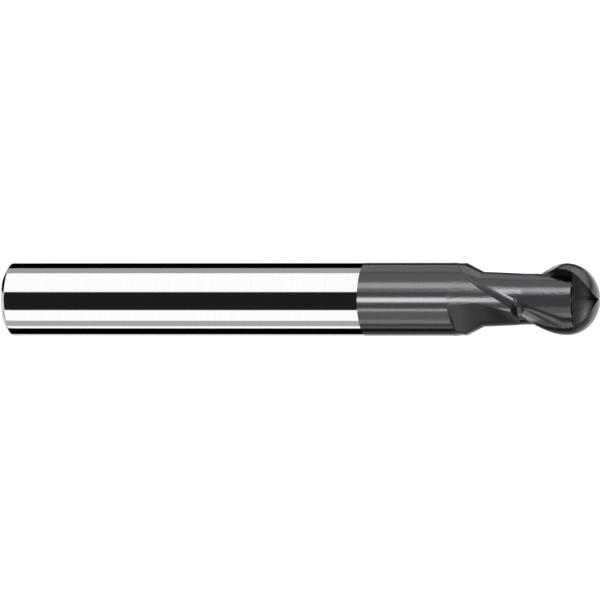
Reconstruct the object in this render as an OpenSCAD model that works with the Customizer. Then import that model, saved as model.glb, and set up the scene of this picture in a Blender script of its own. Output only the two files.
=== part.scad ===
// Two-flute ball nose end mill with a plain cylindrical shank.
// The tool stands along +Z: the back face is at z = 0 and the tip is at the top.
// Angles are degrees round the axis, clockwise seen from the tip, counted from +X towards -Y.

/* [Shank] */
// Diameter of the shank and of the cutting head
shank_d = 6; // [5.5:0.1:8]
// Overall length from the back face to the tip
total_length = 50; // [46:1:70]
// Width of the 45 degree chamfer on the back edge
back_chamfer = 0.36; // [0.2:0.02:0.6]
// Length of the bare ground shank behind the coated front
bare_length = 30.35; // [20:0.05:31]

/* [Flutes] */
// Distance from the tip to where the flutes start to run out
flute_length = 12.1; // [12:0.05:14]
// Helix angle, right hand
helix_angle = 30; // [20:1:35]
// Core diameter where the flutes reach full depth
core_d_back = 4.49; // [4.3:0.01:4.6]
// Core diameter under the head
core_d_front = 4.18; // [3.9:0.01:4.2]
// Width of the land between the flutes, in degrees
land_width = 23; // [15:0.2:30]
// Slope of the run-out behind each flute, in degrees
runout_slope = 27; // [22:1:35]

/* [Head] */
// Length of the cutting head, from its back to the tip
head_length = 6.05; // [5.8:0.05:6.4]
// Length of the rounded nose
nose_length = 2.7; // [2.5:0.05:3]
// Width of each tooth where the head is widest, in degrees
tooth_width = 70; // [60:1:80]
// Length of the neck between the lands and the head
neck_length = 0.35; // [0.2:0.05:0.6]
// Angle by which the cutting face leans back under its edge
rake_undercut = 8; // [4:1:10]
// Radial drop of each tooth from its cutting edge to its heel
tooth_relief = 0.1; // [0.04:0.01:0.16]
// Length of the end gash, measured back from the tip
gash_length = 1.8; // [1.6:0.05:2]

/* [Hidden] */
$fn = 96;

r = shank_d / 2;
core_back = core_d_back / 2;
core_front = core_d_front / 2;
twist = tan(helix_angle) / r * 180 / PI;         // degrees of helix for each millimetre

flute_z = total_length - flute_length;           // first touch of the flute cut
full_depth_z = flute_z + 2.6;                    // flutes at full depth from here on
head_z = total_length - head_length;             // back of the head
neck_z = head_z - neck_length;                   // back of the neck
shoulder = 0.1 * r;                              // length of a land's sloping front end
land_end_z = neck_z - shoulder;
nose_z = total_length - nose_length;             // widest place of the head
gash_z = total_length - gash_length;             // where the end gash has cut the core away

edge_at_nose = 55;                               // first cutting edge, at nose_z
heel_at_nose = edge_at_nose + tooth_width - 180; // heel of the opposite tooth, at nose_z
land_heel_at_nose = heel_at_nose - 3;            // a land's heel, carried on to nose_z
land_taper = 5.7;                                // degrees by which a land narrows per millimetre
flat_edge_slope = 1.4;                           // degrees per millimetre, edge of the leading flat
fillet_turn = 13;                                // turn taken by the fillet under a heel
pocket = 0.03;                                   // depth of the faint cut ahead of the run-out
flat_depth = 0.26;                               // depth at which the leading flat begins
fade_turn = 41;                                  // how far a flute narrows as it runs out
tip_share = 0.08;                                // tip radius as a share of the head radius
tip_slot = 8;                                    // half opening of the gash at the tip, in degrees
gash_step = 0.12;                                // length of the step where the gash starts
web_start = 1.65;                                // half thickness of the web where the gash starts
web_tip = 0.1;                                   // half thickness of the web at the tip

land_steps = 8;
flute_steps = 22;
body_rings = 32;
tooth_steps = 10;
wall_steps = 5;
floor_steps = 10;
rake_steps = 4;
gap_steps = wall_steps + floor_steps + rake_steps;
heel_side_steps = 10;
back_rings = 22;
nose_rings = 16;

function clamp01(t) = min(1, max(0, t));
function smooth(t) = clamp01(t) * clamp01(t) * (3 - 2 * clamp01(t));
function mix(a, b, t) = a + (b - a) * t;
function polar(radius, turn, z) = [radius * cos(turn), -radius * sin(turn), z];
function helix(z) = twist * (nose_z - z);
// Quarter-round fillet: 1 at the top of the wall, 0 where it meets the floor.
function fillet(t) = 1 - sqrt(1 - pow(1 - clamp01(t), 2));

// Closed solid through rings that all have the same number of points.
module loft(rings) {
    n = len(rings[0]);
    top = (len(rings) - 1) * n;
    sides = [for (k = [0 : len(rings) - 2], j = [0 : n - 1])
        let (a = k * n + j, b = k * n + (j + 1) % n)
        each [[a, b, a + n], [b, b + n, a + n]]];
    bottom_cap = [for (j = [n - 1 : -1 : 0]) j];
    top_cap = [for (j = [0 : n - 1]) top + j];
    polyhedron(points = [for (ring = rings) each ring], faces = concat([bottom_cap, top_cap], sides));
}

// ---- Fluted body: two lands, and flutes that run out into the bar ----
function floor_radius(z) =
    z < full_depth_z
        ? max(core_back, r - pocket - tan(runout_slope) * max(0, z - flute_z - 1))
        : mix(core_back, core_front, clamp01((z - full_depth_z) / (head_z - full_depth_z)));
// Distance from the axis of the flat ground along the leading side of a flute.
function flat_radius(z) =
    let (t = (z - flute_z) / (full_depth_z - flute_z))
    t > 1 ? floor_radius(z) : r - flat_depth * smooth(6 * t) - (r - flat_depth - core_back) * smooth(t);
function flat_half(z) = acos(flat_radius(z) / r);
function flat_cut(z, turn) = turn > 2 * flat_half(z) ? r : flat_radius(z) / cos(flat_half(z) - turn);
function heel_turn(z) = land_heel_at_nose + helix(z) + fade_turn * exp(-(z - flute_z - 0.3) / 0.7);
// A land's leading edge follows the flat first, then the helix while the land tapers.
function tapered_lead(z) =
    land_heel_at_nose + helix(z) - land_width + land_taper * (z - full_depth_z);
function lead_turn(z) =
    min(tapered_lead(z), tapered_lead(full_depth_z) - flat_edge_slope * (full_depth_z - z));
function land_radius(z) = mix(r, floor_radius(neck_z), clamp01((z - land_end_z) / shoulder));
function flute_radius(z, from_heel, to_lead) =
    let (top = land_radius(z),
         bottom = min(top, floor_radius(z)),
         wall = 3 + fillet_turn * (top - bottom) / (r - core_back),
         behind = bottom + (top - bottom) * fillet(from_heel / wall),
         ahead = flat_cut(z, to_lead))
    to_lead < flat_half(z) ? min(top, ahead) : min(behind, ahead, top);
// Spreads the steps across a flute, closer together near its two walls.
function flute_share(t) = mix(pow(t, 1.3), smooth(t), 0.5);
function body_half(z, turn) =
    let (lead = lead_turn(z), heel = heel_turn(z), width = lead + 180 - heel)
    concat(
        [for (i = [0 : land_steps - 1])
            polar(land_radius(z), turn + mix(lead, heel, i / land_steps), z)],
        [for (i = [0 : flute_steps - 1])
            let (s = width * flute_share(i / flute_steps))
            polar(flute_radius(z, s, width - s), turn + heel + s, z)]);

// ---- Ball head: two teeth on the core, parted by the flutes and an end gash ----
function nose_share(z) =
    z < nose_z ? 1 : max(tip_share, sqrt(max(0, 1 - pow((z - nose_z) / nose_length, 2))));
// Height of a tooth as a share of its full height; the edge side rises last.
function rise(z, behind) =
    let (late = 1.5 * (1 - smooth((behind - 12) / 34)))
    1 - pow(1 - clamp01((z - head_z - late) / (nose_z - head_z - late)), 1.9 - 0.4 * late);
function tooth_radius(z, behind, width) =
    (mix(core_front, r, rise(z, behind)) - tooth_relief * rise(z, behind) * behind / width) * nose_share(z);
function edge_turn(z) =
    z < nose_z ? edge_at_nose + helix(z) : mix(tip_slot, edge_at_nose, pow(nose_share(z), 1.4));
function back_turn(z) =
    z < nose_z ? heel_at_nose + helix(z) : mix(-tip_slot, heel_at_nose, 1 - pow(1 - nose_share(z), 1.6));
// The cutting face slopes forward where a tooth is still low, and leans back once it is tall.
function lean(z) = mix(-14, rake_undercut, smooth(rise(z, 0)));
function web(z) = mix(web_start, web_tip, clamp01((z - gash_z) / gash_length));
// Flute between two teeth: fillet under the heel, round core, straight cutting face.
function flute_point(z, k) =
    let (edge = edge_turn(z), heel = back_turn(z), width = heel - edge + 180,
         foot = edge + lean(z), floor_start = heel + fillet_turn)
    k < wall_steps
        ? let (s = k / wall_steps)
          polar(mix(core_front, tooth_radius(z, width, width), fillet(s)), mix(heel, floor_start, s), z)
    : k < wall_steps + floor_steps
        ? polar(core_front, mix(floor_start, foot, (k - wall_steps) / floor_steps), z)
    : mix(polar(core_front, foot, z), polar(tooth_radius(z, 0, width), edge, z),
          (k - wall_steps - floor_steps) / rake_steps);
// End gash between two teeth: two straight sides that meet at the web.
function gash_point(z, k) =
    let (edge = edge_turn(z), heel = back_turn(z), width = heel - edge + 180,
         bottom = polar(web(z), mix(heel, edge, 0.54), z))
    k < heel_side_steps
        ? mix(polar(tooth_radius(z, width, width), heel, z), bottom, k / heel_side_steps)
        : mix(bottom, polar(tooth_radius(z, 0, width), edge, z),
              (k - heel_side_steps) / (gap_steps - heel_side_steps));
function turned(p, turn) =
    [p.x * cos(turn) + p.y * sin(turn), p.y * cos(turn) - p.x * sin(turn), p.z];
function head_half(z, turn) =
    let (edge = edge_turn(z), width = back_turn(z) - edge + 180,
         cut = smooth((z - gash_z + gash_step) / gash_step))
    concat(
        [for (i = [0 : tooth_steps - 1])
            let (behind = width * i / tooth_steps)
            polar(tooth_radius(z, behind, width), turn + edge - 180 + behind, z)],
        [for (k = [0 : gap_steps - 1]) turned(mix(flute_point(z, k), gash_point(z, k), cut), turn)]);

module shank() {
    color("gainsboro") {
        cylinder(h = back_chamfer, r1 = r - back_chamfer, r2 = r);
        translate([0, 0, back_chamfer]) cylinder(h = bare_length - back_chamfer, r = r);
    }
}

module coated_shank() {
    color("#5a585f") translate([0, 0, bare_length]) cylinder(h = flute_z - bare_length, r = r);
}

module fluted_body() {
    heights = [for (k = [0 : body_rings]) mix(flute_z, neck_z, k / body_rings)];
    color("#66646c") loft([for (z = heights) concat(body_half(z, 0), body_half(z, 180))]);
}

module neck() {
    color("#6e6c72") translate([0, 0, neck_z])
        cylinder(h = neck_length, r1 = floor_radius(neck_z), r2 = floor_radius(head_z));
}

module ball_head() {
    back_heights = [for (k = [0 : back_rings]) mix(head_z, gash_z - gash_step, k / back_rings)];
    nose_heights = [for (k = [0 : nose_rings]) mix(gash_z, total_length, sin(90 * k / nose_rings))];
    color("#5f5d64") loft([for (z = concat(back_heights, nose_heights))
        concat(head_half(z, 0), head_half(z, 180))]);
}

shank();
coated_shank();
fluted_body();
neck();
ball_head();
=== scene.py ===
"""Ball nose end mill: a fine mesh and finish for each section of the tool, and a small studio."""

import math

import bmesh
import bpy
from mathutils import Matrix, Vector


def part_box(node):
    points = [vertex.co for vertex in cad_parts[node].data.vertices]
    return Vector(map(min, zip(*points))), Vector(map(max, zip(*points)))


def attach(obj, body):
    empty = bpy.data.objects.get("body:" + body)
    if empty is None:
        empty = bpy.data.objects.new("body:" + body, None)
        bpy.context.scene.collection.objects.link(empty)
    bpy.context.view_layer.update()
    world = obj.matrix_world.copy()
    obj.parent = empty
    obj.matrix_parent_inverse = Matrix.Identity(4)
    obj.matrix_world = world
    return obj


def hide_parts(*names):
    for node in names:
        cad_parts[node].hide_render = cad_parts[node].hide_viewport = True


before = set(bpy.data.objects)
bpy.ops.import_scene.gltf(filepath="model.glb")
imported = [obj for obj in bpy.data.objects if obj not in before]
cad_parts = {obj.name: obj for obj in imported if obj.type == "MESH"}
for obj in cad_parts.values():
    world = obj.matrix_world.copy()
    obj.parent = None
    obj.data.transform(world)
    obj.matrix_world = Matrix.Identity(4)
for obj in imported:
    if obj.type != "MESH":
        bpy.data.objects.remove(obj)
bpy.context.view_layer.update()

bl_info = {
    "name": "Ball Nose End Mill",
    "version": (1, 0, 0),
    "blender": (4, 5, 0),
    "location": "View3D > Sidebar > End Mill",
    "description": "Builds a two-flute ball nose end mill round its CAD frame",
    "category": "Add Mesh",
}

MM = 0.001
# Points closer than this are one point, in metres.
WELD = 2e-7
BODY = "root"
FLUTES = 2
UV_NAME = "along_across"
# Face attribute that holds each ground face's painted shade, a share of the coating's brightness.
PAINTED_SHADE_NAME = "tone"


def linear(hex_colour):
    """sRGB hex to linear RGBA."""
    parts = [int(hex_colour[at : at + 2], 16) / 255 for at in (1, 3, 5)]
    return [p / 12.92 if p <= 0.04045 else ((p + 0.055) / 1.055) ** 2.4 for p in parts] + [1.0]


SHANK_LOW, SHANK_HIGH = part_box("shank")
BAR_LOW, BAR_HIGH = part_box("coated_shank")
NECK_LOW, NECK_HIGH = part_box("neck")
HEAD_LOW, HEAD_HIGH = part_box("ball_head")


# ---- Settings


class EndMillSizes(bpy.types.PropertyGroup):
    """Sizes of the tool; its lengths come from the CAD frame."""

    diameter: bpy.props.FloatProperty(
        name="Diameter",
        description="Diameter of the shank, the lands and the head",
        default=SHANK_HIGH[0] - SHANK_LOW[0],
        unit="LENGTH",
    )
    back_chamfer: bpy.props.FloatProperty(
        name="Back Chamfer",
        description="Width of the 45 degree chamfer round the back face",
        default=0.36 * MM,
        unit="LENGTH",
    )
    edge_round: bpy.props.FloatProperty(
        name="Edge Round",
        description="Radius that polishing leaves on the edges of the chamfer",
        default=0.05 * MM,
        unit="LENGTH",
    )
    helix_angle: bpy.props.FloatProperty(
        name="Helix Angle",
        description="Right-hand helix of the flutes at the full diameter",
        default=math.radians(30),
        subtype="ANGLE",
    )
    core_back: bpy.props.FloatProperty(
        name="Core Diameter, Back",
        description="Core diameter where the flutes reach full depth",
        default=4.49 * MM,
        unit="LENGTH",
    )
    core_front: bpy.props.FloatProperty(
        name="Core Diameter, Front",
        description="Core diameter under the head",
        default=4.18 * MM,
        unit="LENGTH",
    )
    land_width: bpy.props.FloatProperty(
        name="Land Width",
        description="Angle taken by a land where the flutes reach full depth",
        default=math.radians(23),
        subtype="ANGLE",
    )
    runout_slope: bpy.props.FloatProperty(
        name="Run-out Slope",
        description="Slope of the flute floor where the flute runs out into the bar",
        default=math.radians(27),
        subtype="ANGLE",
    )
    tooth_width: bpy.props.FloatProperty(
        name="Tooth Width",
        description="Angle taken by each tooth where the head is widest",
        default=math.radians(70),
        subtype="ANGLE",
    )
    tooth_relief: bpy.props.FloatProperty(
        name="Tooth Relief",
        description="Radial drop of a tooth from its cutting edge to its heel",
        default=0.1 * MM,
        unit="LENGTH",
    )
    rake_undercut: bpy.props.FloatProperty(
        name="Rake Undercut",
        description="Angle by which a cutting face leans back under its edge",
        default=math.radians(8),
        subtype="ANGLE",
    )
    nose_length: bpy.props.FloatProperty(
        name="Nose Length",
        description="Length of the rounded nose in front of the widest place",
        default=2.7 * MM,
        unit="LENGTH",
    )
    gash_length: bpy.props.FloatProperty(
        name="Gash Length",
        description="Length of the end gash, measured back from the tip",
        default=1.8 * MM,
        unit="LENGTH",
    )


class EndMillFinish(bpy.types.PropertyGroup):
    """Colours and surface qualities of the two finishes."""

    carbide_colour: bpy.props.FloatVectorProperty(
        name="Carbide Colour",
        description="Colour of polished cemented carbide",
        size=4,
        subtype="COLOR",
        default=linear("#E4E4E6"),
    )
    coating_colour: bpy.props.FloatVectorProperty(
        name="Coating Colour",
        description="Colour of the hard nitride coating",
        size=4,
        subtype="COLOR",
        default=linear("#4D4D4C"),
    )
    coating_tint: bpy.props.FloatVectorProperty(
        name="Coating Tint",
        description="Colour where the coating is a little thicker",
        size=4,
        subtype="COLOR",
        default=linear("#49484C"),
    )
    shank_roughness: bpy.props.FloatProperty(
        name="Shank Roughness",
        description="Roughness of the polished shank",
        default=0.05,
        min=0.0,
        max=1.0,
        subtype="FACTOR",
    )
    bar_roughness: bpy.props.FloatProperty(
        name="Bar Roughness",
        description="Roughness of the coating on the cylindrically ground bar",
        default=0.17,
        min=0.0,
        max=1.0,
        subtype="FACTOR",
    )
    flute_roughness: bpy.props.FloatProperty(
        name="Flute Roughness",
        description="Roughness of the coating on the coarser ground flutes and teeth",
        default=0.19,
        min=0.0,
        max=1.0,
        subtype="FACTOR",
    )


class EndMillStudio(bpy.types.PropertyGroup):
    """Camera in front of the tool."""

    camera_tilt: bpy.props.FloatProperty(
        name="Camera Tilt",
        description="Angle by which the camera looks back from the tip end",
        default=math.radians(15.5),
        subtype="ANGLE",
    )
    camera_distance: bpy.props.FloatProperty(
        name="Camera Distance",
        description="Distance from the camera to the tool",
        default=1.5,
        unit="LENGTH",
    )
    view_width: bpy.props.FloatProperty(
        name="View Width",
        description="Width of the view at the tool",
        default=49.05 * MM,
        unit="LENGTH",
    )


# ---- Shape rules, in millimetres and in degrees clockwise seen from the tip


def clamp01(t):
    return min(1.0, max(0.0, t))


def smooth(t):
    t = clamp01(t)
    return t * t * (3.0 - 2.0 * t)


def mix(a, b, t):
    return a + (b - a) * t


def mix_points(a, b, t):
    return (mix(a[0], b[0], t), mix(a[1], b[1], t))


def polar(radius, turn):
    return (radius * math.cos(math.radians(turn)), -radius * math.sin(math.radians(turn)))


def quarter_round(t):
    """Fillet height: 1 at the top of a wall, 0 where it meets the floor."""
    return 1.0 - math.sqrt(1.0 - (1.0 - clamp01(t)) ** 2)


class ToolForm:
    """Cross-sections of the flutes, lands and teeth at each height."""

    # Run-out of a flute into the bar.
    touch_depth = 0.03
    runout_start = 1.0
    full_depth_length = 2.6
    fade_turn = 41.0
    fade_start = 0.3
    fade_length = 0.7
    # Flat along the leading side of a flute.
    flat_depth = 0.26
    flat_entry = 6.0
    flat_edge_slope = 1.4
    # Lands, and the fillet under their heels.
    land_heel_back = 3.0
    land_taper = 5.7
    shoulder_share = 0.1
    least_fillet_turn = 3.0
    fillet_turn = 13.0
    # Teeth: where they stand, and how they rise from the core.
    edge_at_nose = 55.0
    edge_delay = 1.5
    delay_start = 12.0
    delay_fade = 34.0
    rise_power = 1.9
    delayed_power = 0.4
    low_lean = -14.0
    # Nose and end gash.
    tip_share = 0.03
    tip_slot = 8.0
    edge_power = 1.4
    heel_power = 1.6
    gash_blend = 0.12
    gash_bottom = 0.54
    web_start = 1.65
    web_tip = 0.06

    def __init__(self, sizes):
        self.r = sizes.diameter / MM / 2
        self.core_back = sizes.core_back / MM / 2
        self.core_front = sizes.core_front / MM / 2
        self.land_width = math.degrees(sizes.land_width)
        self.slope = math.tan(sizes.runout_slope)
        self.tip_z = HEAD_HIGH[2] / MM
        self.flute_z = BAR_HIGH[2] / MM
        self.full_depth_z = self.flute_z + self.full_depth_length
        self.neck_z = NECK_LOW[2] / MM
        self.head_z = NECK_HIGH[2] / MM
        self.shoulder = self.shoulder_share * self.r
        self.nose_length = sizes.nose_length / MM
        self.nose_z = self.tip_z - self.nose_length
        self.gash_length = sizes.gash_length / MM
        self.gash_z = self.tip_z - self.gash_length
        self.twist = math.degrees(math.tan(sizes.helix_angle) / self.r)
        self.heel_at_nose = self.edge_at_nose + math.degrees(sizes.tooth_width) - 180.0
        self.rake_undercut = math.degrees(sizes.rake_undercut)
        self.relief = sizes.tooth_relief / MM

    def helix(self, z):
        return self.twist * (self.nose_z - z)

    def floor_radius(self, z):
        if z < self.full_depth_z:
            ramp = self.slope * max(0.0, z - self.flute_z - self.runout_start)
            return max(self.core_back, self.r - self.touch_depth - ramp)
        share = (z - self.full_depth_z) / (self.head_z - self.full_depth_z)
        return mix(self.core_back, self.core_front, clamp01(share))

    def flat_radius(self, z):
        """Distance from the axis of the flat ground along the leading side of a flute."""
        t = (z - self.flute_z) / self.full_depth_length
        if t > 1.0:
            return self.floor_radius(z)
        first = self.flat_depth * smooth(self.flat_entry * t)
        return self.r - first - (self.r - self.flat_depth - self.core_back) * smooth(t)

    def heel_turn(self, z):
        along = (z - self.flute_z - self.fade_start) / self.fade_length
        fade = self.fade_turn * math.exp(-along)
        return self.heel_at_nose - self.land_heel_back + self.helix(z) + fade

    def tapered_lead(self, z):
        width = self.land_width - self.land_taper * (z - self.full_depth_z)
        return self.heel_at_nose - self.land_heel_back + self.helix(z) - width

    def lead_turn(self, z):
        """A land's leading edge follows the flat first, then the helix while the land tapers."""
        beside_flat = self.tapered_lead(self.full_depth_z)
        beside_flat -= self.flat_edge_slope * (self.full_depth_z - z)
        return min(self.tapered_lead(z), beside_flat)

    def land_radius(self, z):
        share = clamp01((z - self.neck_z + self.shoulder) / self.shoulder)
        return mix(self.r, self.floor_radius(self.neck_z), share)

    def wall_turn(self, z):
        """Turn taken by the fillet at a land's heel; it narrows where the flute is shallow."""
        depth = max(0.0, self.land_radius(z) - self.floor_radius(z))
        return self.least_fillet_turn + self.fillet_turn * depth / (self.r - self.core_back)

    def flat_half(self, z):
        return math.degrees(math.acos(min(1.0, self.flat_radius(z) / self.r)))

    def flute_painted_shade(self, z, from_heel, to_lead):
        """Painted shade across a flute: its heel wall and its flat are darkened in colour to stand
        for shade.
        """
        if z > self.neck_z - self.shoulder:
            return NO_PAINTED_SHADE
        if from_heel < self.wall_turn(z) / 2:
            return HEEL_WALL_PAINTED_SHADE
        return FLAT_PAINTED_SHADE if to_lead < 2.0 * self.flat_half(z) else NO_PAINTED_SHADE

    def flute_radius(self, z, from_heel, to_lead):
        """Distance from the axis, at a turn counted from the heel and back from the next land."""
        top = self.land_radius(z)
        bottom = min(top, self.floor_radius(z))
        behind = bottom + (top - bottom) * quarter_round(from_heel / self.wall_turn(z))
        near = self.flat_radius(z)
        half = self.flat_half(z)
        if to_lead > 2.0 * half:
            return min(behind, top)
        ahead = near / math.cos(math.radians(half - to_lead))
        return min(top, ahead) if to_lead <= half else min(behind, ahead, top)

    def nose_share(self, z):
        """Radius of the rounded nose as a share of the full radius."""
        if z < self.nose_z:
            return 1.0
        t = (z - self.nose_z) / self.nose_length
        return max(self.tip_share, math.sqrt(max(0.0, 1.0 - t * t)))

    def rise(self, z, behind):
        """Height of a tooth as a share of its full height; its edge side rises last."""
        late = self.edge_delay * (1.0 - smooth((behind - self.delay_start) / self.delay_fade))
        t = clamp01((z - self.head_z - late) / (self.nose_z - self.head_z - late))
        return 1.0 - (1.0 - t) ** (self.rise_power - self.delayed_power * late)

    def tooth_radius(self, z, behind, width):
        rise = self.rise(z, behind)
        drop = self.relief * rise * behind / width
        return (mix(self.core_front, self.r, rise) - drop) * self.nose_share(z)

    def edge_turn(self, z):
        if z < self.nose_z:
            return self.edge_at_nose + self.helix(z)
        return mix(self.tip_slot, self.edge_at_nose, self.nose_share(z) ** self.edge_power)

    def back_turn(self, z):
        if z < self.nose_z:
            return self.heel_at_nose + self.helix(z)
        share = 1.0 - (1.0 - self.nose_share(z)) ** self.heel_power
        return mix(-self.tip_slot, self.heel_at_nose, share)

    def lean(self, z):
        """A cutting face slopes forward where its tooth is low, and leans back where it is tall."""
        return mix(self.low_lean, self.rake_undercut, smooth(self.rise(z, 0.0)))

    def web(self, z):
        """Half thickness of the metal left between the two end gashes."""
        return mix(self.web_start, self.web_tip, clamp01((z - self.gash_z) / self.gash_length))


# Steps across a section and rings along a piece.
LAND_STEPS = 20
FLUTE_STEPS = 110
TOOTH_STEPS = 40
WALL_STEPS = 16
FLOOR_STEPS = 26
RAKE_STEPS = 10
GAP_STEPS = WALL_STEPS + FLOOR_STEPS + RAKE_STEPS
HEEL_SIDE_STEPS = 28
BODY_RINGS = 150
HEAD_BACK_RINGS = 90
HEAD_BLEND_RINGS = 6
HEAD_NOSE_RINGS = 70
# Powers that crowd the steps towards a land's heel and the rings towards the run-out.
STEP_CROWDING = 1.3
RING_CROWDING = 1.15
# Painted shade: share of the coating's plain brightness that each ground face keeps. The heel
# walls, flats, cutting faces and gash faces are darkened in their colour to stand for shade.
NO_PAINTED_SHADE = 1.0
HEEL_WALL_PAINTED_SHADE = 0.45
FLAT_PAINTED_SHADE = 0.55
RAKE_PAINTED_SHADE = 0.35
GASH_RAKE_PAINTED_SHADE = 0.4
GASH_HEEL_PAINTED_SHADE = 0.45
# Roughness that a face would gain if it kept none.
DULLING = 0.35


def body_section(form, z):
    """Half a turn of the fluted body: one land, then one flute."""
    lead, heel = form.lead_turn(z), form.heel_turn(z)
    width = lead + 180.0 - heel
    land = [mix(lead, heel, i / LAND_STEPS) for i in range(LAND_STEPS)]
    points = [polar(form.land_radius(z), turn) for turn in land]
    # The lands get no painted shade; the flutes' heel walls and flats do.
    painted_shades = [NO_PAINTED_SHADE] * LAND_STEPS
    for i in range(FLUTE_STEPS + 1):
        t = i / FLUTE_STEPS
        share = width * mix(t**STEP_CROWDING, smooth(t), 0.5)
        points.append(polar(form.flute_radius(z, share, width - share), heel + share))
        painted_shades.append(form.flute_painted_shade(z, share, width - share))
    return points, painted_shades[:-1]


def flute_point(form, z, k):
    """Flute between two teeth: fillet under the heel, round core, straight cutting face."""
    edge, heel = form.edge_turn(z), form.back_turn(z)
    width = heel - edge + 180.0
    foot, floor_start = edge + form.lean(z), heel + form.fillet_turn
    if k < WALL_STEPS:
        s = k / WALL_STEPS
        radius = mix(form.core_front, form.tooth_radius(z, width, width), quarter_round(s))
        return polar(radius, mix(heel, floor_start, s))
    if k < WALL_STEPS + FLOOR_STEPS:
        return polar(form.core_front, mix(floor_start, foot, (k - WALL_STEPS) / FLOOR_STEPS))
    low, high = polar(form.core_front, foot), polar(form.tooth_radius(z, 0.0, width), edge)
    return mix_points(low, high, (k - WALL_STEPS - FLOOR_STEPS) / RAKE_STEPS)


def gash_point(form, z, k):
    """End gash between two teeth: two straight sides that meet at the web."""
    edge, heel = form.edge_turn(z), form.back_turn(z)
    width = heel - edge + 180.0
    bottom = polar(form.web(z), mix(heel, edge, form.gash_bottom))
    if k < HEEL_SIDE_STEPS:
        start = polar(form.tooth_radius(z, width, width), heel)
        return mix_points(start, bottom, k / HEEL_SIDE_STEPS)
    stop = polar(form.tooth_radius(z, 0.0, width), edge)
    return mix_points(bottom, stop, (k - HEEL_SIDE_STEPS) / (GAP_STEPS - HEEL_SIDE_STEPS))


def gap_painted_shades(cut):
    """Painted shade from a tooth's heel to the next cutting face, by how far the end gash has cut;
    the heel wall, the cutting face and the gash faces are darkened to stand for shade.
    """
    if cut >= 1.0:
        rake_side_steps = GAP_STEPS - HEEL_SIDE_STEPS
        return [GASH_HEEL_PAINTED_SHADE] * HEEL_SIDE_STEPS + [GASH_RAKE_PAINTED_SHADE] * rake_side_steps
    if cut > 0.0:
        return [NO_PAINTED_SHADE] * GAP_STEPS
    wall = [HEEL_WALL_PAINTED_SHADE] * (WALL_STEPS * 3 // 4) + [NO_PAINTED_SHADE] * (WALL_STEPS // 4)
    return wall + [NO_PAINTED_SHADE] * FLOOR_STEPS + [RAKE_PAINTED_SHADE] * RAKE_STEPS


def head_section(form, z):
    """Half a turn of the head: one tooth, then the gap in front of the next tooth."""
    edge = form.edge_turn(z)
    width = form.back_turn(z) - edge + 180.0
    cut = smooth((z - form.gash_z + form.gash_blend) / form.gash_blend)
    points = []
    for i in range(TOOTH_STEPS):
        behind = width * i / TOOTH_STEPS
        points.append(polar(form.tooth_radius(z, behind, width), edge - 180.0 + behind))
    for k in range(GAP_STEPS + 1):
        points.append(mix_points(flute_point(form, z, k), gash_point(form, z, k), cut))
    # The teeth get no painted shade; the gap's faces get painted shade by how far the end gash has
    # cut.
    return points, [NO_PAINTED_SHADE] * TOOTH_STEPS + gap_painted_shades(cut)


def body_heights(form):
    span = form.neck_z - form.flute_z
    shares = [(k / BODY_RINGS) ** RING_CROWDING for k in range(BODY_RINGS + 1)]
    return [form.flute_z + span * share for share in shares]


def head_heights(form):
    blend_z = form.gash_z - form.gash_blend
    back = [mix(form.head_z, blend_z, k / HEAD_BACK_RINGS) for k in range(HEAD_BACK_RINGS)]
    blend = [mix(blend_z, form.gash_z, k / HEAD_BLEND_RINGS) for k in range(HEAD_BLEND_RINGS)]
    quarter = [math.sin(math.pi / 2 * k / HEAD_NOSE_RINGS) for k in range(HEAD_NOSE_RINGS + 1)]
    return back + blend + [mix(form.gash_z, form.tip_z, share) for share in quarter]


# ---- Meshes


def unwound(form, z, points):
    """Turns a section back by the helix, because the helical pattern winds it again."""
    wind = math.radians(form.helix(z))
    return [
        (x * math.cos(wind) - y * math.sin(wind), x * math.sin(wind) + y * math.cos(wind))
        for x, y in points
    ]


def distances_along(ring):
    """Distance of each point from the first one, measured along the ring."""
    distances = [0.0]
    for a, b in zip(ring, ring[1:]):
        distances.append(distances[-1] + math.dist(a, b))
    return distances


def half_shell(name, form, heights, section):
    """Half of a helical piece with closed ends, unwound, for the helical pattern to wind."""
    rings, painted_shades, across = [], [], []
    for z in heights:
        points, ring_painted_shades = section(form, z)
        rings.append(unwound(form, z, points))
        painted_shades.append(ring_painted_shades)
        across.append(distances_along(rings[-1]))
    built = bmesh.new()
    painted_shade_layer = built.faces.layers.float.new(PAINTED_SHADE_NAME)
    uv_layer = built.loops.layers.uv.new(UV_NAME)
    rows = [
        [built.verts.new((x * MM, y * MM, z * MM)) for x, y in ring]
        for ring, z in zip(rings, heights)
    ]
    for k in range(len(rows) - 1):
        for j in range(len(rows[0]) - 1):
            corners = ((k, j), (k + 1, j), (k + 1, j + 1), (k, j + 1))
            face = built.faces.new([rows[a][b] for a, b in corners])
            # Each face keeps its painted shade, which darkens the coating's colour.
            face[painted_shade_layer] = painted_shades[k][j]
            for loop, (a, b) in zip(face.loops, corners):
                loop[uv_layer].uv = (heights[a], across[a][b])
    for row, z in ((rows[0], heights[0]), (rows[-1], heights[-1])):
        centre = built.verts.new((0.0, 0.0, z * MM))
        for a, b in zip(row, row[1:]):
            built.faces.new((centre, a, b))
    mesh = bpy.data.meshes.new(name)
    built.to_mesh(mesh)
    built.free()
    return mesh


def profile_mesh(name, corners):
    """Points of a turned profile, from (radius, height) in millimetres."""
    mesh = bpy.data.meshes.new(name)
    mesh.from_pydata([(radius * MM, 0.0, z * MM) for radius, z in corners], [], [])
    return mesh


def rounded_corner(before, corner, after, radius, steps=6):
    """Points of a round put on a profile's corner."""
    to_before = math.dist(corner, before)
    to_after = math.dist(corner, after)
    start = mix_points(corner, before, radius / to_before)
    stop = mix_points(corner, after, radius / to_after)
    points = []
    for k in range(steps + 1):
        t = k / steps
        points.append(mix_points(mix_points(start, corner, t), mix_points(corner, stop, t), t))
    return points


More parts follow.
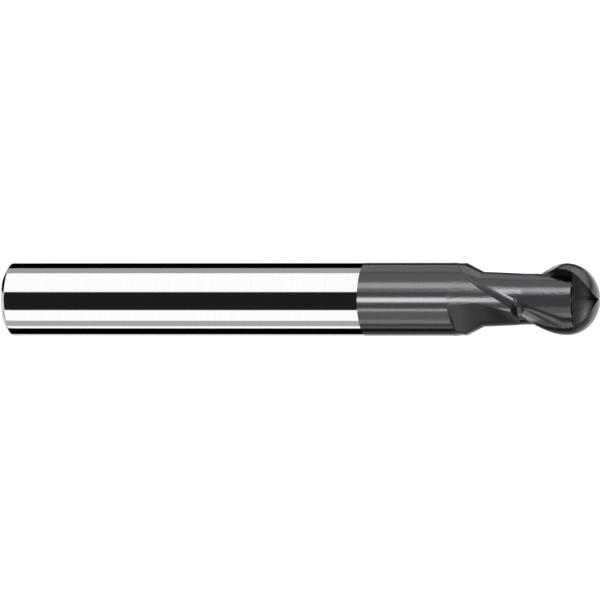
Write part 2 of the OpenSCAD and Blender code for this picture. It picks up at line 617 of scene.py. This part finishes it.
def straight(low, high, steps):
    return [mix_points(low, high, k / steps) for k in range(steps + 1)]


def make_object(name, mesh):
    piece = bpy.data.objects.new(name, mesh)
    bpy.context.scene.collection.objects.link(piece)
    return piece


def run_tree(piece, tree, values):
    """Runs a geometry tree on a piece and keeps the result as its plain mesh."""
    modifier = piece.modifiers.new(tree.name, "NODES")
    modifier.node_group = tree
    for item in tree.interface.items_tree:
        if item.item_type == "SOCKET" and item.in_out == "INPUT" and item.name in values:
            modifier[item.identifier] = values[item.name]
    depsgraph = bpy.context.evaluated_depsgraph_get()
    result = bpy.data.meshes.new_from_object(piece.evaluated_get(depsgraph), depsgraph=depsgraph)
    piece.modifiers.remove(modifier)
    source = piece.data
    piece.data = result
    bpy.data.meshes.remove(source)
    result.name = piece.name


def close_and_smooth(piece, sharp_angle):
    """Makes faces point outwards, checks that the shell is closed, and shades it smooth."""
    built = bmesh.new()
    built.from_mesh(piece.data)
    bmesh.ops.recalc_face_normals(built, faces=built.faces)
    open_edges = sum(1 for edge in built.edges if not edge.is_manifold)
    if built.calc_volume(signed=True) < 0.0:
        bmesh.ops.reverse_faces(built, faces=built.faces)
    built.to_mesh(piece.data)
    built.free()
    if open_edges:
        raise RuntimeError(f"{piece.name} has {open_edges} open edges")
    piece.data.shade_smooth()
    piece.data.set_sharp_from_angle(angle=math.radians(sharp_angle))


# ---- Nodes


def add_node(tree, kind, settings=None, links=None):
    """Adds a node; a setting is a property by name or a socket by index, a link feeds a socket."""
    node = tree.nodes.new(kind)
    for key, value in (settings or {}).items():
        if isinstance(key, int):
            node.inputs[key].default_value = value
        else:
            setattr(node, key, value)
    for key, source in (links or {}).items():
        tree.links.new(source, node.inputs[key])
    return node


def start_tree(name, inputs):
    tree = bpy.data.node_groups.new(name, "GeometryNodeTree")
    tree.interface.new_socket("Geometry", in_out="INPUT", socket_type="NodeSocketGeometry")
    for label, kind in inputs.items():
        tree.interface.new_socket(label, in_out="INPUT", socket_type="NodeSocket" + kind)
    tree.interface.new_socket("Geometry", in_out="OUTPUT", socket_type="NodeSocketGeometry")
    return tree, tree.nodes.new("NodeGroupInput").outputs


def end_tree(tree, geometry, given):
    """Realizes, welds the seams and gives the material."""
    real = add_node(tree, "GeometryNodeRealizeInstances", links={0: geometry})
    welded = add_node(
        tree,
        "GeometryNodeMergeByDistance",
        links={"Geometry": real.outputs[0], "Distance": given["Weld Distance"]},
    )
    finished = add_node(
        tree,
        "GeometryNodeSetMaterial",
        links={"Geometry": welded.outputs[0], "Material": given["Material"]},
    )
    add_node(tree, "NodeGroupOutput", links={0: finished.outputs[0]})


def turned_piece_tree():
    """Turns a profile round the axis, as a bar is ground between centres."""
    tree, given = start_tree(
        "Turned Piece",
        {
            "Profile Points": "Int",
            "Steps Round": "Int",
            "Weld Distance": "Float",
            "Material": "Material",
        },
    )
    math_node = "ShaderNodeMath"
    columns = add_node(tree, math_node, {"operation": "ADD", 1: 1.0}, {0: given["Steps Round"]})
    grid = add_node(
        tree,
        "GeometryNodeMeshGrid",
        links={"Vertices X": columns.outputs[0], "Vertices Y": given["Profile Points"]},
    )
    index = add_node(tree, "GeometryNodeInputIndex")
    by_profile = {0: index.outputs[0], 1: given["Profile Points"]}
    column = add_node(tree, math_node, {"operation": "DIVIDE"}, by_profile)
    whole = add_node(tree, math_node, {"operation": "FLOOR"}, {0: column.outputs[0]})
    row = add_node(tree, math_node, {"operation": "MODULO"}, by_profile)
    share = add_node(
        tree, math_node, {"operation": "DIVIDE"}, {0: whole.outputs[0], 1: given["Steps Round"]}
    )
    turn = add_node(tree, math_node, {"operation": "MULTIPLY", 1: math.tau}, {0: share.outputs[0]})
    position = add_node(tree, "GeometryNodeInputPosition")
    profile = add_node(
        tree,
        "GeometryNodeSampleIndex",
        {"data_type": "FLOAT_VECTOR", "domain": "POINT"},
        {"Geometry": given["Geometry"], "Value": position.outputs[0], "Index": row.outputs[0]},
    )
    swung = add_node(
        tree,
        "ShaderNodeVectorRotate",
        {"rotation_type": "Z_AXIS"},
        {"Vector": profile.outputs[0], "Angle": turn.outputs[0]},
    )
    placed = add_node(
        tree,
        "GeometryNodeSetPosition",
        links={"Geometry": grid.outputs["Mesh"], "Position": swung.outputs[0]},
    )
    end_tree(tree, placed.outputs[0], given)
    return tree


def helical_pattern_tree():
    """Winds half a section along the helix and repeats it once for each flute."""
    tree, given = start_tree(
        "Helical Pattern",
        {
            "Flutes": "Int",
            "Datum Height": "Float",
            "Turn per Metre": "Float",
            "Weld Distance": "Float",
            "Material": "Material",
        },
    )
    math_node = "ShaderNodeMath"
    position = add_node(tree, "GeometryNodeInputPosition")
    place = add_node(tree, "ShaderNodeSeparateXYZ", links={0: position.outputs[0]})
    above = add_node(
        tree,
        math_node,
        {"operation": "SUBTRACT"},
        {0: place.outputs["Z"], 1: given["Datum Height"]},
    )
    wind = add_node(
        tree,
        math_node,
        {"operation": "MULTIPLY"},
        {0: above.outputs[0], 1: given["Turn per Metre"]},
    )
    wound = add_node(
        tree,
        "ShaderNodeVectorRotate",
        {"rotation_type": "Z_AXIS"},
        {"Vector": position.outputs[0], "Angle": wind.outputs[0]},
    )
    placed = add_node(
        tree,
        "GeometryNodeSetPosition",
        links={"Geometry": given["Geometry"], "Position": wound.outputs[0]},
    )
    stations = add_node(
        tree, "GeometryNodeMeshLine", {"mode": "OFFSET"}, {"Count": given["Flutes"]}
    )
    stations.inputs["Offset"].default_value = (0.0, 0.0, 0.0)
    index = add_node(tree, "GeometryNodeInputIndex")
    share = add_node(
        tree, math_node, {"operation": "DIVIDE"}, {0: index.outputs[0], 1: given["Flutes"]}
    )
    turn = add_node(tree, math_node, {"operation": "MULTIPLY", 1: math.tau}, {0: share.outputs[0]})
    spin = add_node(tree, "ShaderNodeCombineXYZ", links={"Z": turn.outputs[0]})
    repeated = add_node(
        tree,
        "GeometryNodeInstanceOnPoints",
        links={
            "Points": stations.outputs["Mesh"],
            "Instance": placed.outputs[0],
            "Rotation": spin.outputs[0],
        },
    )
    end_tree(tree, repeated.outputs[0], given)
    return tree


def shared_tree(name, build):
    return bpy.data.node_groups.get(name) or build()


# ---- Materials

# Real grinding lines are 0.01 to 0.02 mm apart; they are drawn wider apart so that they show.
TURNED_LINE_SPACING = 0.12 * MM
AROUND_SQUEEZE = 0.02
FLUTE_LINE_SPACING = 0.3 * MM
FLUTE_LINE_LENGTH = 1.6 * MM
LINE_DETAIL = 3.0
# Brightness at the bottom of a line on the bare carbide.
LINE_SHADE = 0.93
# Soft patches in the coating, and the noise values between which its colour changes.
PATCH_SIZE = 6 * MM
THICKNESS_RANGE = (0.35, 0.65)
POLISHED_CARBIDE = "polished_cemented_carbide"
COATED_BAR = "nitride_coated_ground_bar"
COATED_FLUTES = "nitride_coated_ground_flutes"


def start_material(name, roughness):
    material = bpy.data.materials.new(name)
    material.use_nodes = True
    tree = material.node_tree
    tree.nodes.clear()
    shader = add_node(tree, "ShaderNodeBsdfPrincipled")
    shader.inputs["Metallic"].default_value = 1.0
    shader.inputs["Roughness"].default_value = roughness
    add_node(tree, "ShaderNodeOutputMaterial", links={"Surface": shader.outputs[0]})
    return material, tree, shader


def turned_lines(tree):
    """Fine lines round the axis on a cylinder, and rings on an end face."""
    place = add_node(tree, "ShaderNodeTexCoord")
    parts = add_node(tree, "ShaderNodeSeparateXYZ", links={0: place.outputs["Object"]})
    squared = [
        add_node(
            tree,
            "ShaderNodeMath",
            {"operation": "MULTIPLY"},
            {0: parts.outputs[axis], 1: parts.outputs[axis]},
        )
        for axis in ("X", "Y")
    ]
    total = add_node(
        tree,
        "ShaderNodeMath",
        {"operation": "ADD"},
        {0: squared[0].outputs[0], 1: squared[1].outputs[0]},
    )
    radius = add_node(tree, "ShaderNodeMath", {"operation": "SQRT"}, {0: total.outputs[0]})
    around = add_node(
        tree,
        "ShaderNodeMath",
        {"operation": "MULTIPLY", 1: AROUND_SQUEEZE},
        {0: parts.outputs["Y"]},
    )
    lines_at = add_node(
        tree,
        "ShaderNodeCombineXYZ",
        links={"X": radius.outputs[0], "Y": around.outputs[0], "Z": parts.outputs["Z"]},
    )
    lines = add_node(tree, "ShaderNodeTexNoise", links={"Vector": lines_at.outputs[0]})
    lines.inputs["Scale"].default_value = 1.0 / TURNED_LINE_SPACING
    lines.inputs["Detail"].default_value = LINE_DETAIL
    return lines


def flute_lines(tree):
    """Fine lines along the flutes, as the side of a grinding wheel leaves them."""
    unrolled = add_node(tree, "ShaderNodeUVMap", {"uv_map": UV_NAME})
    scaled = add_node(tree, "ShaderNodeMapping", links={"Vector": unrolled.outputs[0]})
    scaled.inputs["Scale"].default_value = (
        MM / FLUTE_LINE_LENGTH,
        MM / FLUTE_LINE_SPACING,
        1.0,
    )
    lines = add_node(tree, "ShaderNodeTexNoise", links={"Vector": scaled.outputs[0]})
    lines.inputs["Scale"].default_value = 1.0
    lines.inputs["Detail"].default_value = LINE_DETAIL
    return lines


def add_bump(tree, shader, lines, strength, height):
    bump = add_node(tree, "ShaderNodeBump", links={"Height": lines.outputs["Fac"]})
    bump.inputs["Strength"].default_value = strength
    bump.inputs["Distance"].default_value = height
    tree.links.new(bump.outputs[0], shader.inputs["Normal"])


def polished_carbide(name, finish):
    """Cemented carbide, ground between centres and polished: a grey mirror with faint rings."""
    material, tree, shader = start_material(name, finish.shank_roughness)
    lines = turned_lines(tree)
    colours = add_node(tree, "ShaderNodeValToRGB", links={"Fac": lines.outputs["Fac"]})
    light = list(finish.carbide_colour)
    colours.color_ramp.elements[0].color = [c * LINE_SHADE for c in light[:3]] + [1.0]
    colours.color_ramp.elements[1].color = light
    tree.links.new(colours.outputs[0], shader.inputs["Base Color"])
    add_bump(tree, shader, lines, strength=0.12, height=0.002 * MM)
    return material


def coating_colours(tree, finish, lines):
    """Coating that is a little thicker in soft patches and along the grinding lines."""
    place = add_node(tree, "ShaderNodeTexCoord")
    patches = add_node(tree, "ShaderNodeTexNoise", links={"Vector": place.outputs["Object"]})
    patches.inputs["Scale"].default_value = 1.0 / PATCH_SIZE
    half_lines = add_node(
        tree, "ShaderNodeMath", {"operation": "MULTIPLY", 1: 0.5}, {0: lines.outputs["Fac"]}
    )
    thickness = add_node(
        tree,
        "ShaderNodeMath",
        {"operation": "MULTIPLY_ADD", 1: 0.5},
        {0: patches.outputs["Fac"], 2: half_lines.outputs[0]},
    )
    colours = add_node(tree, "ShaderNodeValToRGB", links={"Fac": thickness.outputs[0]})
    thick, thin = colours.color_ramp.elements
    thick.position, thin.position = THICKNESS_RANGE
    thick.color, thin.color = finish.coating_tint, finish.coating_colour
    return colours.outputs[0]


def bar_coating(name, finish):
    """Hard vapour-deposited nitride on the ground bar: dark grey satin with lines round it."""
    material, tree, shader = start_material(name, finish.bar_roughness)
    lines = turned_lines(tree)
    tree.links.new(coating_colours(tree, finish, lines), shader.inputs["Base Color"])
    add_bump(tree, shader, lines, strength=0.5, height=0.003 * MM)
    return material


def flute_coating(name, finish):
    """The same nitride on flutes and teeth: lines along the flutes, and a painted shade for each
    face that darkens its colour.
    """
    material, tree, shader = start_material(name, finish.flute_roughness)
    lines = flute_lines(tree)
    tone = add_node(tree, "ShaderNodeAttribute", {"attribute_name": PAINTED_SHADE_NAME})
    shaded = add_node(
        tree,
        "ShaderNodeVectorMath",
        {"operation": "SCALE"},
        {0: coating_colours(tree, finish, lines), "Scale": tone.outputs["Fac"]},
    )
    tree.links.new(shaded.outputs[0], shader.inputs["Base Color"])
    # The faces darkened by painted shade are also made rougher.
    dull = add_node(
        tree,
        "ShaderNodeMath",
        {"operation": "MULTIPLY_ADD", 1: -DULLING, 2: finish.flute_roughness + DULLING},
        {0: tone.outputs["Fac"]},
    )
    tree.links.new(dull.outputs[0], shader.inputs["Roughness"])
    add_bump(tree, shader, lines, strength=0.5, height=0.02 * MM)
    return material


def shared_material(name, build):
    """Builds a material once, whichever piece asks for it first."""
    return bpy.data.materials.get(name) or build(name, bpy.context.scene.end_mill_finish)


# ---- Pieces

STEPS_ROUND = 288
# Steps along the profile of each turned piece.
BACK_FACE_STEPS = 6
SHANK_STEPS = 24
BAR_STEPS = 16
NECK_STEPS = 10
# Height in millimetres of the shank's first ring above its chamfer.
LOWEST_SHANK_RING = 1.0
# Edges that bend by more than this many degrees stay sharp.
TURNED_SHARP_ANGLE = 20
GROUND_SHARP_ANGLE = 24


def turned_piece(name, corners, material):
    piece = make_object(name, profile_mesh(name, corners))
    values = {
        "Profile Points": len(corners),
        "Steps Round": STEPS_ROUND,
        "Weld Distance": WELD,
        "Material": material,
    }
    run_tree(piece, shared_tree("Turned Piece", turned_piece_tree), values)
    close_and_smooth(piece, TURNED_SHARP_ANGLE)
    return piece


def helical_piece(name, form, heights, section, material):
    piece = make_object(name, half_shell(name, form, heights, section))
    values = {
        "Flutes": FLUTES,
        "Datum Height": form.nose_z * MM,
        "Turn per Metre": math.radians(form.twist) / MM,
        "Weld Distance": WELD,
        "Material": material,
    }
    run_tree(piece, shared_tree("Helical Pattern", helical_pattern_tree), values)
    close_and_smooth(piece, GROUND_SHARP_ANGLE)
    return piece


class ENDMILL_OT_shank(bpy.types.Operator):
    """Add the bare polished shank with its back chamfer"""

    bl_idname = "endmill.shank"
    bl_label = "Polished Shank"

    def execute(self, context):
        sizes = context.scene.end_mill_sizes
        r = sizes.diameter / MM / 2
        chamfer = sizes.back_chamfer / MM
        top = SHANK_HIGH[2] / MM
        inner, outer = (r - chamfer, 0.0), (r, chamfer)
        profile = straight((0.0, 0.0), (r - 2 * chamfer, 0.0), BACK_FACE_STEPS)
        profile += rounded_corner((0.0, 0.0), inner, outer, sizes.edge_round / MM)
        profile += rounded_corner(inner, outer, (r, top), sizes.edge_round / MM)
        profile += straight((r, LOWEST_SHANK_RING), (r, top), SHANK_STEPS)
        profile.append((0.0, top))
        material = shared_material(POLISHED_CARBIDE, polished_carbide)
        piece = turned_piece("polished_shank", profile, material)
        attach(piece, BODY)
        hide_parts("shank")
        return {"FINISHED"}


class ENDMILL_OT_coated_bar(bpy.types.Operator):
    """Add the coated part of the plain bar"""

    bl_idname = "endmill.coated_bar"
    bl_label = "Coated Bar"

    def execute(self, context):
        r = context.scene.end_mill_sizes.diameter / MM / 2
        low, high = BAR_LOW[2] / MM, BAR_HIGH[2] / MM
        profile = [(0.0, low)] + straight((r, low), (r, high), BAR_STEPS) + [(0.0, high)]
        piece = turned_piece("coated_bar", profile, shared_material(COATED_BAR, bar_coating))
        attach(piece, BODY)
        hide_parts("coated_shank")
        return {"FINISHED"}


class ENDMILL_OT_fluted_section(bpy.types.Operator):
    """Add the fluted section with its two helical lands"""

    bl_idname = "endmill.fluted_section"
    bl_label = "Fluted Section"

    def execute(self, context):
        form = ToolForm(context.scene.end_mill_sizes)
        material = shared_material(COATED_FLUTES, flute_coating)
        piece = helical_piece("fluted_section", form, body_heights(form), body_section, material)
        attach(piece, BODY)
        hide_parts("fluted_body")
        return {"FINISHED"}


class ENDMILL_OT_slim_neck(bpy.types.Operator):
    """Add the slim neck behind the head"""

    bl_idname = "endmill.slim_neck"
    bl_label = "Slim Neck"

    def execute(self, context):
        form = ToolForm(context.scene.end_mill_sizes)
        low = (form.floor_radius(form.neck_z), form.neck_z)
        high = (form.core_front, form.head_z)
        profile = [(0.0, form.neck_z)] + straight(low, high, NECK_STEPS) + [(0.0, form.head_z)]
        piece = turned_piece("slim_neck", profile, shared_material(COATED_BAR, bar_coating))
        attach(piece, BODY)
        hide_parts("neck")
        return {"FINISHED"}


class ENDMILL_OT_cutting_head(bpy.types.Operator):
    """Add the ball nose head with its two teeth and end gashes"""

    bl_idname = "endmill.cutting_head"
    bl_label = "Cutting Head"

    def execute(self, context):
        form = ToolForm(context.scene.end_mill_sizes)
        material = shared_material(COATED_FLUTES, flute_coating)
        piece = helical_piece("cutting_head", form, head_heights(form), head_section, material)
        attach(piece, BODY)
        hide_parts("ball_head")
        return {"FINISHED"}


# ---- Studio

# Soft boxes and dark gaps round the tool: where each one ends, in degrees from the camera's side
# towards the top of its view, and its brightness. The first starts at -180.
STUDIO_BANDS = (
    (-147, 0.85),
    (-105, 0.0),
    (-95, 1.3),
    (-72, 0.5),
    (-35, 1.3),
    (23, 0.015),
    (90, 1.3),
    (115, 0.45),
    (157, 0.0),
    (180, 0.85),
)
# Half of the blend between two bands, in degrees.
BAND_BLEND = 1.0
COATED_PIECES = ("coated_bar", "fluted_section", "slim_neck", "cutting_head")
BAR_PIECES = ("coated_bar", "fluted_section")
# Lamps that only the coated pieces see: direction round the tool and angular width in degrees,
# brightness, and the lowest and highest angle that each one fills, seen from the cutting end.
LAMPS = {
    "bar_streak": (-2.5, 13, 11.0, -45, -13),
    "thin_streak": (-34, 6, 5.0, -60, 60),
    "upper_streak": (44, 18, 3.0, -60, 60),
    "flute_streak": (33, 17, 6.5, -12, 30),
    "lower_streak": (-76, 14, 1.8, -60, 60),
    "front_fill": (-5, 58, 0.6, -60, 70),
    "top_fill": (115, 42, 1.0, -60, 60),
    "lower_fill": (-138, 34, 0.3, -60, 60),
    "back_slope_streak": (-105, 34, 3.0, -65, -38),
    "end_fill": (180, 50, 0.5, 8, 70),
    "nose_fill_above": (130, 50, 0.5, 8, 70),
    "nose_fill_below": (-130, 50, 0.25, 8, 70),
}
# Lamps for the long streaks on the bar, which the neck and the head don't show.
BAR_LAMPS = ("bar_streak", "thin_streak")
LAMP_DISTANCE = 0.3
# Height that the lamps' angles are measured from, as a share of the tool's length.
LAMP_HEIGHT_SHARE = 0.85
# Half width of the floor, and its place just below the back face.
FLOOR_HALF = 2.0
FLOOR_DROP = 0.02 * MM
# The floor glows a little, so that it stays evenly pale.
FLOOR_GLOW = 0.72
# Middle of the view, about half way up the tool.
VIEW_CENTRE = (0.0, 0.065 * MM, 24.73 * MM)


def studio_surround():
    """Surroundings made of tall soft boxes and dark gaps; the camera itself sees plain white."""
    world = bpy.data.worlds.new("studio_surround")
    world.use_nodes = True
    tree = world.node_tree
    tree.nodes.clear()
    place = add_node(tree, "ShaderNodeTexCoord")
    parts = add_node(tree, "ShaderNodeSeparateXYZ", links={0: place.outputs["Generated"]})
    angle = add_node(
        tree,
        "ShaderNodeMath",
        {"operation": "ARCTAN2"},
        {0: parts.outputs["Y"], 1: parts.outputs["X"]},
    )
    share = add_node(
        tree,
        "ShaderNodeMath",
        {"operation": "MULTIPLY_ADD", 1: -1.0 / math.tau, 2: 0.5},
        {0: angle.outputs[0]},
    )
    bands = add_node(tree, "ShaderNodeValToRGB", links={"Fac": share.outputs[0]})
    ramp = bands.color_ramp
    ramp.interpolation = "LINEAR"
    first = STUDIO_BANDS[0][1]
    ramp.elements[0].position = 0.0
    ramp.elements[0].color = (first, first, first, 1.0)
    ramp.elements[1].position = 1.0
    last = STUDIO_BANDS[-1][1]
    ramp.elements[1].color = (last, last, last, 1.0)
    for (stop, here), (_, then) in zip(STUDIO_BANDS, STUDIO_BANDS[1:]):
        for side, value in ((-BAND_BLEND, here), (BAND_BLEND, then)):
            element = ramp.elements.new(0.5 + (stop + side) / 360.0)
            element.color = (value, value, value, 1.0)
    around = add_node(tree, "ShaderNodeBackground", links={"Color": bands.outputs[0]})
    plain = add_node(tree, "ShaderNodeBackground", {0: (1.0, 1.0, 1.0, 1.0)})
    path = add_node(tree, "ShaderNodeLightPath")
    shown = add_node(
        tree,
        "ShaderNodeMixShader",
        links={0: path.outputs["Is Camera Ray"], 1: around.outputs[0], 2: plain.outputs[0]},
    )
    add_node(tree, "ShaderNodeOutputWorld", links={"Surface": shown.outputs[0]})
    bpy.context.scene.world = world


def receiving_collection(name, pieces):
    """Collection of the pieces that a group of lamps lights."""
    receivers = bpy.data.collections.new(name)
    for piece in pieces:
        receivers.objects.link(bpy.data.objects[piece])
    return receivers


def coating_lamps(datum):
    """Tall lamps whose streaks only the coated pieces show."""
    coated = receiving_collection("coated_pieces", COATED_PIECES)
    bar = receiving_collection("bar_pieces", BAR_PIECES)
    for name, (turn, width, brightness, lowest, highest) in LAMPS.items():
        foot = LAMP_DISTANCE * math.tan(math.radians(lowest))
        head = LAMP_DISTANCE * math.tan(math.radians(highest))
        lamp = bpy.data.lights.new(name, "AREA")
        lamp.shape = "RECTANGLE"
        lamp.size = 2 * LAMP_DISTANCE * math.tan(math.radians(width / 2))
        lamp.size_y = head - foot
        # A flat lamp's power is its brightness times pi times its area.
        lamp.energy = brightness * math.pi * lamp.size * lamp.size_y
        holder = bpy.data.objects.new(name, lamp)
        x, y = polar(LAMP_DISTANCE, turn)
        holder.location = (x, y, datum + (foot + head) / 2)
        holder.rotation_euler = (math.pi / 2, 0.0, math.atan2(y, x) + math.pi / 2)
        holder.visible_camera = False
        holder.light_linking.receiver_collection = bar if name in BAR_LAMPS else coated
        bpy.context.scene.collection.objects.link(holder)


def pale_floor():
    """A wide matt white floor that polished metal doesn't pick up."""
    mesh = bpy.data.meshes.new("floor")
    corners = [(-1, -1), (1, -1), (1, 1), (-1, 1)]
    points = [(x * FLOOR_HALF, y * FLOOR_HALF, -FLOOR_DROP) for x, y in corners]
    mesh.from_pydata(points, [], [(0, 1, 2, 3)])
    floor = make_object("floor", mesh)
    material = bpy.data.materials.new("matt_white_paper")
    material.use_nodes = True
    tree = material.node_tree
    tree.nodes.clear()
    shader = add_node(tree, "ShaderNodeBsdfPrincipled")
    shader.inputs["Base Color"].default_value = linear("#F2F2F2")
    shader.inputs["Roughness"].default_value = 0.9
    shader.inputs["Specular IOR Level"].default_value = 0.0
    shader.inputs["Emission Color"].default_value = (1.0, 1.0, 1.0, 1.0)
    shader.inputs["Emission Strength"].default_value = FLOOR_GLOW
    add_node(tree, "ShaderNodeOutputMaterial", links={"Surface": shader.outputs[0]})
    mesh.materials.append(material)
    floor.visible_glossy = False
    floor.visible_shadow = False


def aimed_camera(studio):
    """A long-lens camera in front of the tool, with the tip towards the right of its view."""
    tilt = studio.camera_tilt
    data = bpy.data.cameras.new("camera")
    data.sensor_width = 36.0
    data.lens = data.sensor_width * studio.camera_distance / studio.view_width
    data.clip_end = 10.0
    camera = bpy.data.objects.new("camera", data)
    towards = (math.cos(tilt), 0.0, math.sin(tilt))
    camera.location = [a + studio.camera_distance * t for a, t in zip(VIEW_CENTRE, towards)]
    # Right in view is up the tool, up in view is -Y.
    right, up = (-math.sin(tilt), 0.0, math.cos(tilt)), (0.0, -1.0, 0.0)
    camera.rotation_euler = Matrix([right, up, towards]).transposed().to_euler()
    bpy.context.scene.collection.objects.link(camera)
    bpy.context.scene.camera = camera


class ENDMILL_OT_stage(bpy.types.Operator):
    """Add the floor, the studio surroundings, the lamps and the camera"""

    bl_idname = "endmill.stage"
    bl_label = "Studio"

    def execute(self, context):
        pale_floor()
        studio_surround()
        coating_lamps(LAMP_HEIGHT_SHARE * HEAD_HIGH[2])
        aimed_camera(context.scene.end_mill_studio)
        context.scene.view_settings.view_transform = "Standard"
        return {"FINISHED"}


PIECES = (
    ENDMILL_OT_shank,
    ENDMILL_OT_coated_bar,
    ENDMILL_OT_fluted_section,
    ENDMILL_OT_slim_neck,
    ENDMILL_OT_cutting_head,
    ENDMILL_OT_stage,
)


class ENDMILL_PT_panel(bpy.types.Panel):
    """Lists the pieces and the studio"""

    bl_idname = "ENDMILL_PT_panel"
    bl_label = "Ball Nose End Mill"
    bl_space_type = "VIEW_3D"
    bl_region_type = "UI"
    bl_category = "End Mill"

    def draw(self, context):
        for kind in PIECES:
            self.layout.operator(kind.bl_idname)
        for group in ("end_mill_sizes", "end_mill_finish", "end_mill_studio"):
            settings = getattr(context.scene, group)
            for label in settings.__annotations__:
                self.layout.prop(settings, label)


GROUPS = {
    "end_mill_sizes": EndMillSizes,
    "end_mill_finish": EndMillFinish,
    "end_mill_studio": EndMillStudio,
}


def register():
    for kind in (*GROUPS.values(), *PIECES, ENDMILL_PT_panel):
        bpy.utils.register_class(kind)
    for name, kind in GROUPS.items():
        setattr(bpy.types.Scene, name, bpy.props.PointerProperty(type=kind))


def unregister():
    for name in GROUPS:
        delattr(bpy.types.Scene, name)
    for kind in reversed((*GROUPS.values(), *PIECES, ENDMILL_PT_panel)):
        bpy.utils.unregister_class(kind)


def main():
    register()
    for kind in PIECES:
        category, name = kind.bl_idname.split(".")
        getattr(getattr(bpy.ops, category), name)()


if __name__ == "__main__":
    main()
